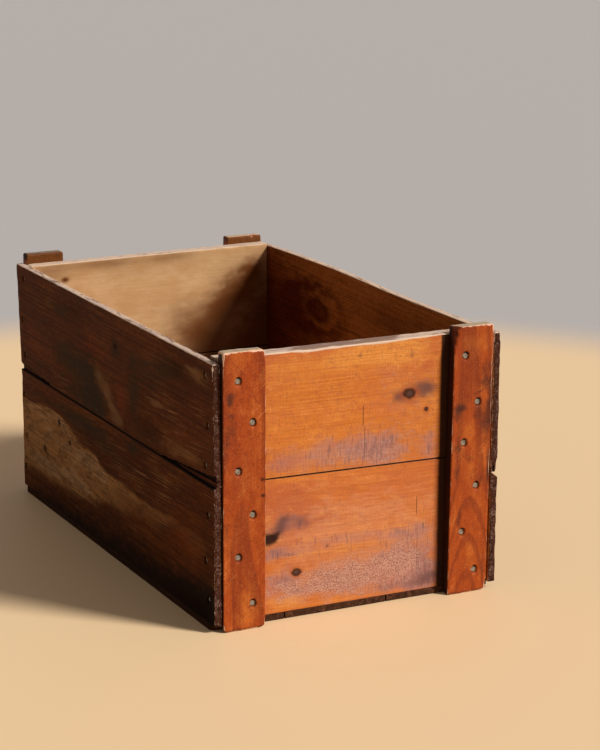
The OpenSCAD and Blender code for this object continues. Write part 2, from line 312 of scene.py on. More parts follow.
# Worn corners: at a rounded one, a point beyond the quarter circle is drawn back to it; at one knocked off,
# the board thins along a rough slanting plane. Gives how far each point is cut away, from 0 to 1.
def wearCorners(board, grid, place):
    u, v = grid.u, grid.v
    for farEnd, farSide, cornerRadius in board.get("roundCorners", []):
        corner = np.array([farEnd * grid.length, farSide * grid.bodyHigh])
        fromCorner = np.abs(place[:, :2] - corner)
        beyond = np.clip(cornerRadius - fromCorner, 0, None)
        beyond *= np.minimum(1, cornerRadius / np.maximum(np.hypot(*beyond.T), tiny))[:, None] * (beyond > 0)
        place[:, :2] = np.abs(corner - np.where(beyond > 0, cornerRadius - beyond, fromCorner))
    cutAway = np.zeros_like(u)
    for along, across, reachU, reachV, depth in board.get("cornerCuts", []):
        share = 1 - np.abs(u - along) / reachU - np.abs(v - across) / reachV
        share += 0.3 * (planeNoise(u / 4, v / 3, grid.seed + 15) - 0.5)
        share = np.clip(share, 0, 1)
        place[:, 2] *= 1 - depth / grid.thick * share
        cutAway = np.maximum(cutAway, easeStep(0, 0.2, share) * grid.atOuter)
    return cutAway


# Nail holes: a hole dips by an eased step at its radius, with a shallow bruise around it, and noise hollows
# the face between them. Gives painted shadow in the holes, partly dirt, thicker towards their far sides
# where the rim's shadow falls.
def punchHoles(board, grid, place):
    u, v = grid.u, grid.v
    radius, wall = nailHole["radius"], nailHole["wall"]
    dip = np.zeros_like(u)
    shadeAndDirt = np.zeros_like(u)
    for nailU, nailV in zip(grid.nailU, grid.nailV):
        away = np.hypot((u - nailU) / board.get("holeStretch", 1.0), v - nailV)
        inHole = 1 - easeStep(radius - wall, radius + wall, away)
        bruise = 1 - easeStep(radius, nailHole["bruise"], away)
        dip = np.maximum(dip, inHole * nailHole["depth"] + bruise * nailHole["bruiseDepth"])
        farSide = np.clip((u - nailU + v - nailV) / 5, -1, 1)
        shadeAndDirt = np.maximum(shadeAndDirt, easeStep(0, 0.5, inHole) * (0.55 + 0.45 * farSide))
    hollow = damage["hollow"] * planeNoise(u / 47, v / 23, grid.seed + 9)
    place[:, 2] -= (grid.w > grid.thick - slack) * (dip + hollow * easeStep(0.5, 5, grid.fromRim))
    return shadeAndDirt


# Hand-sawn lines: an edge falls evenly along the board, the top is worn down along listed points, an end is
# cut aslant in step with its height, and a batten leans by moving its foot
def sawLines(board, grid, place):
    u, length, slantReach = grid.u, grid.length, damage["slantReach"]
    lowFall, highFall = board.get("lowFall", (0, 0)), board.get("highFall", (0, 0))
    lengthShare, heightShare = u / length, grid.v / grid.width
    placeShare = place[:, 1] / grid.bodyHigh
    place[:, 1] += (lowFall[0] + (lowFall[1] - lowFall[0]) * lengthShare) * (1 - placeShare)
    place[:, 1] -= (highFall[0] + (highFall[1] - highFall[0]) * lengthShare) * placeShare
    if "topLine" in board:
        topU, topDip = np.array(board["topLine"], float).T
        place[:, 1] -= np.interp(u, topU, topDip) * easeStep(0.8, 1, placeShare)
    place[:, 0] += board.get("frontSlant", 0) * heightShare * np.clip(1 - u / slantReach, 0, 1)
    nearRear = np.clip((u - length + slantReach) / slantReach, 0, 1)
    place[:, 0] -= board.get("rearSlant", 0) * (1 - heightShare) * nearRear
    place[:, 1] -= board.get("lean", 0) * (1 - lengthShare)


# Growth rings: the distance in mm from a pith that sways beside the board, with the grain drawn together at
# knots. Knots: the distance from the nearest one's heart, as a share of its radius.
def ringFields(board, grid):
    u, v0, seed = grid.u, grid.v0, grid.seed
    aroundV = v0 + (planeNoise(u / 55, v0 / 26, seed + 12) - 0.5) * waviness["figure"]
    knotFar = np.full_like(u, 9.0)
    for along, across, knotSize in board.get("knots", []):
        pinch = np.exp(-((u - along) / (knotSize * 4.5)) ** 2 - ((v0 - across) / (knotSize * 2.4)) ** 2)
        aroundV = across + (aroundV - across) * (1 - 0.75 * pinch)
        bent = 1 + 0.35 * (planeNoise(u / knotSize, v0 / knotSize, seed + 13) - 0.5)
        knotFar = np.minimum(knotFar, np.hypot((u - along) / 1.2, v0 - across) / knotSize * bent)
    pithV, pithW, tilt = board["pith"]
    sway = (lineNoise(u / 90, seed + 11) - 0.5) * waviness["sway"]
    rise = tilt * (u - grid.length / 2)
    if "arch" in board:
        rise = np.interp(u, *np.array(board["arch"], float).T)
    return np.hypot(aroundV - pithV - sway, grid.w - pithW + rise), knotFar


# Wear: the distance from the nearest edge, which is the second least distance from a face, and how bare the
# wood is: the board's own level and what its top, ends and chips add
def wearFields(board, grid, cutAway):
    fromTop = grid.bodyHigh - grid.v
    sides = np.stack([grid.fromEnd, grid.fromSide, np.minimum(grid.w, grid.thick - grid.w)], -1)
    topFace = (1 - easeStep(0.1, 0.5, fromTop)) * ("bareFace" in board)
    edgeMm = np.sort(sides, axis=1)[:, 1] * (1 - topFace)
    bare = board.get("bare", -0.5) + board.get("bareTop", 0) * grid.atTop * (1 - easeStep(4, 14, fromTop))
    bare += board.get("bareFace", 0) * topFace
    bare += board.get("bareEnds", 0) * (1 - easeStep(2, 10, grid.fromEnd))
    bare -= 3 * grid.seamEdge * (1 - easeStep(2, 6, grid.fromSide)) + 3 * cutAway
    for chip in board.get("chips", []):
        bare += board.get("chipBare", 0.8) * chipShape(grid, chip)
    return edgeMm, bare


# Darkness: a sum of dark spots on the outer face, painted shade with some dirt in joints, holes, cuts and on
# narrow faces, dirt on seams and cracks, and lines along or across the board, mostly painted shadow,
# exponentials of a power of the distance
def dirtAndShadeField(board, grid, recessShadeAndDirt, endGrain):
    u, v, v0 = grid.u, grid.v, grid.v0
    dark = spots(u, v0, board.get("dark", []), grid.seed, 0.3) * grid.atOuter * (1 - endGrain)
    # narrow faces: painted shade, darkest on the faces turned from the light, with some dirt
    narrowLow, narrowHigh = board.get("narrowShadeAndDirt", (0, 0))
    behindFace = easeStep(0.3, 1.5, grid.thick - grid.w)
    dark += recessShadeAndDirt + narrowLow * ((1 - easeStep(0.2, 1.2, v)) * behindFace)
    dark += narrowHigh * ((1 - easeStep(0.2, 1.2, grid.bodyHigh - v)) * behindFace)
    seamDirt, seamWide = board.get("seamDirt", (0.9, 1.2))
    dark += seamDirt * grid.seamEdge * (1 - easeStep(0.3, seamWide, grid.fromSide)) * (1 - endGrain)
    # lines along a neighbour: mostly the painted shadow of a batten, partly dirt
    for line, span, strength in board.get("shadowAndDirtAlong", []):
        dark += strength * np.exp(-(np.abs(u - line) / span) ** 4) * (1 - grid.inner)
    for line, span, strength in board.get("darkAcross", []):
        dark += strength * np.exp(-(np.abs(v - line) / span) ** 2) * grid.atOuter
    for line, low, high, strength in board.get("cracks", []):
        ends = easeStep(low, low + 6, v0) * easeStep(-high, -high + 6, -v0)
        dark += strength * (np.abs(u - line) < damage["crackHalf"]) * ends * grid.atOuter
    return dark


# Painted shade on the inner face, darker in corners and where shadows fall inside the crate: soft spots, and
# rings of a knot figure that fall off on both sides of an ellipse bent by noise
def shadeField(board, grid):
    u, v0 = grid.u, grid.v0
    shade = spots(u, v0, board.get("innerShade", []), grid.seed, 0.25)
    bend = 0.4 * (planeNoise(u / 13, v0 / 9, grid.seed + 14) - 0.5)
    for along, across, halfLength, halfWidth, strength in board.get("innerRings", []):
        around = np.hypot((u - along) / halfLength, (v0 - across) / halfWidth) + bend
        shade += strength * np.exp(-((around - 1) / 0.3) ** 2)
    return shade * grid.inner


markFields = ("pale", "rosy", "rust", "grey", "speckle", "smudge")
boardFields = ("ringMm", "edgeMm", "bare", "knotFar", "dark", "endGrain", "inner", "shade") + markFields


# A new object in the scene that shows its data
def addObject(name, data):
    made = bpy.data.objects.new(name, data)
    bpy.context.scene.collection.objects.link(made)
    return made


# A board as a worn solid: its grid is broken, worn, punched and sawn in turn and set in its place, and the
# mesh carries the fields that the wood reads
def makeBoard(name, board, material):
    grid = boardGrid(name, board)
    jointShadeAndDirt = breakJoint(board, grid)
    findEdges(board, grid)
    place = wearEdges(board, grid)
    cutAway = wearCorners(board, grid, place)
    endGrain = 1 - easeStep(0.1, 0.8, np.minimum(place[:, 0], grid.length - place[:, 0]))
    # painted shade, partly dirt, in nail holes and broken joints, and painted shade on knocked-off corners
    recessShadeAndDirt = punchHoles(board, grid, place) + jointShadeAndDirt + board.get("cutShade", 0) * cutAway
    sawLines(board, grid, place)

    leftHanded = np.linalg.det(np.eye(3)[grid.axes]) < 0
    if board["outward"][0] == "-":
        place[:, 2] = grid.thick - place[:, 2]
        leftHanded = not leftHanded
    quads = grid.quads[:, ::-1] if leftHanded else grid.quads
    world = np.zeros_like(place)
    world[:, grid.axes] = grid.lo[grid.axes] + place
    mesh = bpy.data.meshes.new(name + "_worn")
    mesh.from_pydata((world * mm).tolist(), [], quads.tolist())
    mesh.polygons.foreach_set("use_smooth", np.ones(len(quads), bool))

    values = {"dark": dirtAndShadeField(board, grid, recessShadeAndDirt, endGrain), "endGrain": endGrain, "inner": grid.inner}
    values["ringMm"], values["knotFar"] = ringFields(board, grid)
    values["edgeMm"], values["bare"] = wearFields(board, grid, cutAway)
    values["shade"] = shadeField(board, grid)
    for label in markFields:
        values[label] = spots(grid.u, grid.v0, board.get(label, []), grid.seed) * grid.atOuter
    values["pale"] += streakBands(grid.u, grid.v0, board.get("paleBands", []), grid.seed) * grid.atOuter
    for label in boardFields:
        value = values[label].astype(np.float32)
        mesh.attributes.new(label, "FLOAT", "POINT").data.foreach_set("value", value)
    apart = grid.seed * np.array([137.0, 59.0, 31.0])  # mm, so that no two boards share their grain
    grainPlace = (np.stack([grid.u, grid.v0, grid.w], -1) + apart).astype(np.float32)
    mesh.attributes.new("boardMm", "FLOAT_VECTOR", "POINT").data.foreach_set("vector", grainPlace.ravel())
    mesh.materials.append(material)
    piece = addObject(name + "_worn", mesh)
    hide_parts(name)
    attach(piece, "root")
    print("board", name, len(quads), "faces")


# sRGB hex to the linear colour that the shaders take
def hexColour(code):
    parts = [int(code[i:i + 2], 16) / 255 for i in (1, 3, 5)]
    return tuple(p / 12.92 if p <= 0.04045 else ((p + 0.055) / 1.055) ** 2.4 for p in parts) + (1.0,)


# Links an input of a node where its value comes from another node, and sets it where it is plain
def setInputs(tree, node, inputs):
    for key, value in inputs.items():
        if isinstance(value, bpy.types.NodeSocket):
            tree.links.new(value, node.inputs[key])
        else:
            node.inputs[key].default_value = value


# Adds a node with its settings and inputs, and gives back the chosen output
def addNode(tree, kind, inputs=None, out=0, **settings):
    node = tree.nodes.new("ShaderNode" + kind)
    for key, value in settings.items():
        setattr(node, key, value)
    setInputs(tree, node, inputs or {})
    return node.outputs[out]


# A new material, with its node tree and the shader that stands in it
def newMaterial(name):
    material = bpy.data.materials.new(name)
    material.use_nodes = True
    return material, material.node_tree, material.node_tree.nodes["Principled BSDF"]


# Settings that several nodes share: an eased step, and a mix of two colours
eased = {"interpolation_type": "SMOOTHSTEP"}
colours = {"out": 2, "data_type": "RGBA"}


# Old softwood, sawn and varnished long ago. Its fields are noises stretched along the grain, and the marks
# that each board carries. A layer is laid over the ones before it where its weighted sum of fields is high.
def agedWood(name, wood):
    material, tree, shader = newMaterial(name)
    fields = {}
    for label in boardFields:
        fields[label] = addNode(tree, "Attribute", out="Fac", attribute_name=label)
    boardMm = addNode(tree, "Attribute", out="Vector", attribute_name="boardMm")
    for label, (along, across, detail, rough, turned) in wood["noises"].items():
        facing = addNode(tree, "VectorRotate", {"Vector": boardMm, "Angle": math.radians(turned)})
        perMm = (1 / along, 1 / across, 1 / across)
        scaled = addNode(tree, "VectorMath", {0: facing, 1: perMm}, operation="MULTIPLY")
        fineness = {"Scale": 1.0, "Detail": detail, "Roughness": rough}
        fields[label] = addNode(tree, "TexNoise", {"Vector": scaled, **fineness})

    # late wood: a dark line that swells through each year's ring and stops short
    wavy = addNode(tree, "Math", {0: fields["streak"], 1: wood["ringWander"], 2: fields["ringMm"]},
                   operation="MULTIPLY_ADD")
    year = addNode(tree, "Math", {0: wavy, 1: wood["ringWidth"]}, operation="DIVIDE")
    part = addNode(tree, "Math", {0: year}, operation="FRACT")
    swell = addNode(tree, "MapRange", {0: part, 1: lateWood["start"], 2: lateWood["full"]}, **eased)
    stop = addNode(tree, "MapRange", {0: part, 1: lateWood["stop"], 2: 1.0, 3: 1.0, 4: 0.0}, **eased)
    fields["late"] = addNode(tree, "Math", {0: swell, 1: stop}, operation="MULTIPLY")

    # the weighted sums: one for each layer of colour, one for the gloss and one for the relief
    sums = []
    for terms in [layer[0] for layer in wood["layers"]] + [wood["dull"], wood["relief"]]:
        total = 0.0
        for label, weight in terms.items():
            total = addNode(tree, "Math", {0: fields[label], 1: weight, 2: total}, operation="MULTIPLY_ADD")
        sums.append(total)
    *layerSums, dullness, relief = sums

    colour = hexColour(wood["base"])
    for total, (terms, low, high, most, tone, *blend) in zip(layerSums, wood["layers"]):
        share = addNode(tree, "MapRange", {0: total, 1: low, 2: high, 4: most}, **eased)
        way = blend[0] if blend else "MIX"
        colour = addNode(tree, "Mix", {0: share, 6: colour, 7: hexColour(tone)}, blend_type=way, **colours)

    # gloss is dulled by dirt and wear, and the fibres stand proud of the softer wood between them
    glossy, dull = wood["roughness"]
    roughness = addNode(tree, "MapRange", {0: dullness, 3: glossy, 4: dull})
    height = addNode(tree, "MapRange", {0: relief})
    depth = {"Strength": wood["bump"], "Distance": wood["bumpMm"] * mm}
    bump = addNode(tree, "Bump", {"Height": height, **depth})
    setInputs(tree, shader, {"Base Color": colour, "Roughness": roughness, "Normal": bump,
                             "IOR": wood["refraction"], "Specular IOR Level": wood["specular"]})
    return material


# Noises by their size along the grain and across it in mm, their detail and roughness, and their turn in
# degrees. Real pine fibres are about 0.05 mm across: the finest here is ten times that, to show at all.
grain = {
    "fibre": (160, 1.1, 4.0, 0.65, 0), "streak": (420, 4.0, 4.0, 0.6, 0), "blotch": (38, 20, 6.0, 0.62, 0),
    "hue": (150, 64, 3.0, 0.5, 0), "mottle": (12, 6, 5.0, 0.7, 15), "patch": (7, 5, 3.0, 0.6, 0),
    "figure": (14, 2.4, 4.0, 0.6, 0), "cross": (1.6, 15, 3.0, 0.6, 0), "speck": (1.6, 1.5, 2.0, 0.6, 0),
    "chip": (20, 4.5, 5.0, 0.6, 0), "scratch": (24, 0.6, 1.0, 0.5, -50),
}

# A layer is its weights for the fields, the sum at which it starts and the sum at which it is full, its most
# share, its colour, and how it blends where it doesn't just cover

# Bare wood on edges and top faces: cream where fresh, purple-grey and brown where weathered
wornEdges = [
    ({"bare": 1.2, "edgeMm": -1.0, "chip": 5.0}, 2.5, 2.8, 1.0, "#ccb098"),
    ({"bare": 1.0, "mottle": 4.0}, 5.4, 6.3, 0.62, "#ad9790"),
    ({"bare": 0.6, "chip": -4.0, "speck": -0.6}, 0.2, 0.5, 0.75, "#6e4c3a"),
]

# Pine end boards: amber to rose under old varnish, hazed purple-grey where rubbed, honey-brown inside
endPine = {
    "base": "#c5722c", "noises": grain, "ringWidth": 3.2, "ringWander": 5.0,
    "layers": [
        ({"hue": 1.0}, 0.4, 0.66, 0.75, "#bc6638"),
        ({"blotch": 1.0}, 0.46, 0.72, 0.6, "#d6863c"),
        ({"rosy": 0.8, "blotch": 0.5}, 0.45, 1.15, 0.85, "#ca8862"),
        ({"rust": 0.8, "blotch": 0.6, "speck": 0.2}, 0.6, 1.2, 0.75, "#b0582e"),
        ({"pale": 0.8, "blotch": 0.6, "speck": 0.2}, 0.6, 1.2, 0.8, "#d88e40"),
        ({"mottle": 1.0, "blotch": 0.5}, 0.75, 1.0, 0.45, "#a65630"),
        ({"mottle": -1.0, "patch": -0.3}, -0.62, -0.4, 0.35, "#dc9858"),
        ({"figure": 1.0, "patch": 0.3}, 0.64, 0.9, 0.38, "#a0563a"),
        ({"figure": -1.0, "patch": -0.3}, -0.6, -0.38, 0.2, "#e0a060"),
        ({"late": 0.3, "streak": 1.0}, 0.55, 0.85, 0.16, "#9c5428"),
        ({"fibre": 1.0}, 0.4, 0.7, 0.28, "#b88e74", "MULTIPLY"),
        ({"speck": 1.0, "cross": 0.5}, 0.76, 0.98, 0.48, "#84482e"),
        ({"grey": 0.8, "patch": 0.3, "mottle": 0.3}, 0.4, 1.2, 0.74, "#9c706a"),
        ({"grey": 0.2, "speckle": 0.08, "cross": 1.0}, 0.66, 0.83, 0.55, "#6a4846"),
        ({"speckle": 0.8, "patch": 0.4, "mottle": 0.3}, 0.45, 1.25, 0.7, "#9c726a"),
        ({"speckle": 0.22, "speck": 0.8, "patch": 0.4}, 0.72, 0.9, 0.42, "#d2a286"),
        ({"speckle": 0.2, "speck": -0.8, "mottle": -0.4}, -0.46, -0.28, 0.48, "#6c423c"),
        ({"smudge": 1.0, "blotch": 0.2, "speck": 0.2, "fibre": 0.3}, 0.4, 1.7, 0.85, "#553a3a"),
        ({"knotFar": -1.0, "mottle": 1.4}, -1.8, -0.2, 0.55, "#9c4a20"),
        ({"knotFar": -1.0, "speck": 0.5, "mottle": 0.5}, -0.85, -0.3, 0.92, "#311a10"),
        ({"knotFar": -1.0, "speck": 0.6}, -0.38, 0.0, 0.42, "#5e4a42"),
        ({"inner": 1.0}, 0.3, 0.7, 1.0, "#cda474"),
        ({"inner": 1.0, "hue": 0.5, "blotch": 0.5}, 1.44, 1.66, 0.36, "#b47c4a"),
        ({"inner": 1.0, "blotch": -0.7, "mottle": -0.3}, 0.44, 0.64, 0.4, "#d8b086"),
        ({"inner": 1.0, "mottle": 0.6, "patch": 0.4}, 1.52, 1.76, 0.25, "#a8703e"),
        ({"inner": 1.0, "streak": 0.8}, 1.4, 1.65, 0.18, "#b08454"),
        ({"inner": 1.0, "fibre": 0.7, "speck": 0.3}, 1.45, 1.75, 0.22, "#a87e60", "MULTIPLY"),
        # painted shade: the inner face darkened where the shade field is high, in corners and shadows inside
        # the crate
        ({"shade": 1.0}, 0.0, 1.0, 0.97, "#7a5022", "MULTIPLY"),
        # dark: stains and dirt, and painted shade in holes, joints, cuts, narrow faces and a batten's shadow
        # strip
        ({"dark": 0.8, "blotch": 0.3, "fibre": 0.2}, 0.5, 1.0, 0.95, "#1c0b05"),
        *wornEdges,
        ({"endGrain": 1.0}, 0.3, 0.7, 1.0, "#6b4a35"),
        ({"endGrain": 0.6, "speck": 0.8}, 0.98, 1.15, 0.6, "#a58464"),
    ],
    "dull": {"grey": 0.4, "dark": 0.3, "blotch": 0.6, "inner": 0.3}, "roughness": (0.42, 0.8),
    "relief": {"fibre": 0.6, "late": 0.1, "speck": 0.3, "mottle": 0.2}, "bump": 0.4, "bumpMm": 0.6,
    "specular": 0.1, "refraction": 1.5,
}

# Fir battens: the same varnish over redder wood, so a deep red-brown with handling stains and scratches
battenFir = dict(
    endPine, base="#9e4411", ringWidth=5.6, ringWander=1.2,
    layers=[
        ({"hue": 1.0}, 0.42, 0.64, 0.7, "#963c10"),
        ({"blotch": 1.0}, 0.46, 0.72, 0.7, "#ba6022"),
        ({"pale": 0.8, "blotch": 0.6, "speck": 0.2}, 0.65, 1.2, 0.75, "#c66e28"),
        ({"mottle": 0.8, "patch": 0.6}, 0.7, 0.98, 0.5, "#7a2e12"),
        ({"mottle": -0.8, "patch": -0.5}, -0.62, -0.4, 0.32, "#c87438"),
        ({"late": 0.7, "streak": 0.3}, 0.42, 0.82, 0.52, "#722a0e"),
        ({"rust": 0.8, "blotch": 0.6, "speck": 0.2}, 0.65, 1.25, 0.75, "#6e2814"),
        ({"fibre": 1.0}, 0.4, 0.7, 0.32, "#a87c62", "MULTIPLY"),
        ({"speck": 1.0, "patch": 0.4}, 0.73, 0.95, 0.62, "#5c2412"),
        ({"speck": -1.0, "cross": -0.3}, -0.58, -0.36, 0.26, "#d08a50"),
        ({"scratch": 1.0, "blotch": 0.35}, 0.88, 1.0, 0.6, "#dc965c"),
        ({"smudge": 1.0, "patch": 0.4, "speck": 0.2, "fibre": 0.2}, 0.5, 1.3, 0.88, "#3c1c14"),
        ({"inner": 1.0}, 0.3, 0.7, 1.0, "#66380f"),
        ({"inner": 1.0, "mottle": 0.8}, 1.36, 1.56, 0.6, "#432410"),
        # dark: stains and dirt, and painted shade in holes and on the narrow faces turned from the light
        ({"dark": 0.8, "blotch": 0.3, "fibre": 0.2}, 0.5, 1.0, 0.95, "#140603"),
        ({"bare": 1.2, "edgeMm": -1.0, "chip": 5.0}, 2.5, 2.9, 0.85, "#dcb090"),
        ({"endGrain": 1.0, "dark": -0.6}, 0.3, 0.7, 1.0, "#b39a7e"),
        ({"endGrain": 0.6, "speck": 0.4, "mottle": 0.5, "dark": -0.6}, 0.95, 1.2, 0.75, "#7c6656"),
    ],
    roughness=(0.38, 0.75), specular=0.16,
)

# Pine side boards: brown with soot, damp stains and bleached sapwood, scratched and dry, with little gloss
sidePine = dict(
    endPine, base="#603114", ringWidth=5.5, ringWander=6.0,
    noises=dict(grain, blotch=(75, 28, 6.0, 0.62, 0), hue=(190, 70, 3.0, 0.5, 0),
                mottle=(24, 8, 5.0, 0.7, 8), scratch=(60, 0.9, 1.0, 0.5, 3)),
    layers=[
        ({"hue": 1.0}, 0.42, 0.66, 0.8, "#4c240e"),
        ({"blotch": 1.0}, 0.46, 0.72, 0.7, "#70401c"),
        ({"rust": 0.8, "blotch": 0.6, "speck": 0.2}, 0.6, 1.2, 0.85, "#723317"),
        ({"pale": 0.9, "blotch": 0.5, "streak": 0.4}, 0.5, 1.25, 0.95, "#a87a4c"),
        ({"pale": 0.5, "blotch": 0.5, "figure": 0.5}, 0.98, 1.18, 0.7, "#5e3c1e"),
        ({"pale": 0.5, "blotch": -0.6, "figure": -0.3}, 0.0, 0.14, 0.7, "#c49c72"),
        ({"mottle": 0.8, "streak": 0.6, "pale": -0.12}, 0.64, 0.95, 0.6, "#3a1c0d"),
        ({"patch": 1.0, "pale": 0.1}, 0.54, 0.8, 0.5, "#38200f"),
        ({"patch": -1.0, "pale": 0.1}, -0.46, -0.2, 0.38, "#8a562a"),
        ({"late": 0.2, "streak": 1.0}, 0.5, 0.9, 0.5, "#321a0c"),
        ({"fibre": 1.0}, 0.38, 0.7, 0.65, "#926c58", "MULTIPLY"),
        ({"speck": 1.0, "fibre": 0.3, "pale": -0.12}, 0.7, 0.9, 0.5, "#30180b"),
        ({"speck": -1.0, "fibre": -0.3}, -0.58, -0.36, 0.34, "#8e6038"),
        ({"scratch": 1.0, "blotch": 0.4, "speckle": 0.14}, 0.88, 1.03, 0.58, "#966e4a"),
        ({"grey": 0.9, "blotch": 0.5, "mottle": 0.3, "fibre": 0.3}, 0.75, 1.5, 0.88, "#362b20"),
        ({"smudge": 1.0, "blotch": 0.4, "fibre": 0.5, "speck": 0.2}, 0.75, 1.5, 0.85, "#8c6a48"),
        ({"knotFar": -1.0, "mottle": 1.4}, -1.8, -0.2, 0.6, "#3a1a0c"),
        ({"knotFar": -1.0, "speck": 0.5, "mottle": 0.5}, -0.85, -0.3, 0.9, "#180b06"),
        ({"inner": 1.0}, 0.3, 0.7, 1.0, "#b26d30"),
        ({"inner": 1.0, "blotch": 0.8}, 1.34, 1.62, 0.55, "#844a20"),
        ({"inner": 1.0, "late": 0.15, "streak": 0.7}, 1.38, 1.65, 0.45, "#6a3c1a"),
        ({"inner": 1.0, "fibre": 0.7, "speck": 0.5}, 1.5, 1.75, 0.75, "#946a50", "MULTIPLY"),
        ({"inner": 1.0, "patch": 0.5, "mottle": 0.5}, 1.5, 1.68, 0.5, "#b8783c"),
        # painted shade: the inner face darkened where the shade field is high, in corners and shadows inside
        # the crate
        ({"shade": 1.0}, 0.0, 1.0, 0.97, "#7a5022", "MULTIPLY"),
        # dark: stains and dirt, and painted shade in holes, joints and on narrow faces
        ({"dark": 0.9, "blotch": 0.4, "fibre": 0.3}, 0.5, 1.3, 0.95, "#1a100b"),
        ({"endGrain": 1.0}, 0.3, 0.7, 1.0, "#44261a"),
        ({"endGrain": 0.6, "mottle": 1.0}, 1.08, 1.3, 0.7, "#64483f"),
        ({"endGrain": 0.6, "speck": 0.8, "mottle": 0.4}, 1.24, 1.44, 0.54, "#a08878"),
        ({"endGrain": 0.6, "speck": -0.8, "patch": -0.4}, -0.04, 0.12, 0.7, "#1c0c06"),
        # dark near the ends: painted shade and dirt in holes and joints
        ({"dark": 0.9, "endGrain": 0.1}, 0.9, 1.5, 0.9, "#120804"),
        *wornEdges,
    ],
    roughness=(0.55, 0.9), specular=0.04, bump=0.5,
)

# Sawn pine bottom boards: soot-brown from standing on the ground, plain and dry inside
bottomPine = dict(
    sidePine, base="#3e281a", roughness=(0.65, 0.92),
    layers=[layer for layer in sidePine["layers"] if "endGrain" not in layer[0]] + [
        ({"endGrain": 1.0}, 0.3, 0.7, 1.0, "#452a1c"),
        ({"endGrain": 0.6, "mottle": 0.7, "patch": 0.4}, 1.12, 1.35, 0.8, "#6a4632"),
        ({"endGrain": 0.6, "speck": -0.7, "patch": -0.5}, -0.06, 0.14, 0.7, "#1c0e08"),
    ],
)

woods = {
    "end_board_wood": agedWood("amber_varnished_pine", endPine),
    "batten_wood": agedWood("red_brown_varnished_fir", battenFir),
    "side_board_wood": agedWood("weathered_brown_pine", sidePine),
    "bottom_board_wood": agedWood("sooty_sawn_pine", bottomPine),
}
print("woods made:", len(woods))

# What the boards of a kind share. Places on a board are in mm from its lowest corner, along and across.
fall = joint["seamFall"]
leftNails = ["left_side_front_nails", "left_side_rear_nails"]
rightNails = ["right_side_front_nails", "right_side_rear_nails"]
endBoard = {
    "along": "x", "across": "z", "slot": "end_board_wood", "step": 1.7, "edge": 0.7,
    "nails": [], "tongue": joint["endTongue"],
}
batten = {
    "along": "z", "across": "x", "slot": "batten_wood", "step": 1.8, "edge": 1.1,
    # narrow faces carry painted shade, darkest on the left face that turns from the light, with some dirt
    "endWear": 1.2, "holeStretch": nailHole["stretch"], "narrowShadeAndDirt": (0.9, 0.5), "bare": 0.02,
    "bareEnds": 0.3, "shadowAndDirtAlong": [(0, 4, 0.6)],
    "roundCorners": [(0, 0, 3.0), (0, 1, 3.0), (1, 0, 3.0), (1, 1, 3.0)],
}
sideBoard = {
    "along": "y", "across": "z", "slot": "side_board_wood", "step": 2.1, "edge": 0.6,
    "seamDirt": (1.4, 1.3), "endWear": 1.3, "tongue": joint["sideTongue"],
}
bottomBoard = {
    "along": "y", "across": "x", "slot": "bottom_board_wood", "outward": "-z", "step": 2.6,
    # narrow faces carry painted shade under the side boards, with some dirt
    "edge": 0.9, "narrowShadeAndDirt": (0.65, 0.65), "bare": -2.5, "innerInset": 3,
    "nails": ["bottom_front_nails", "bottom_rear_nails"],
}

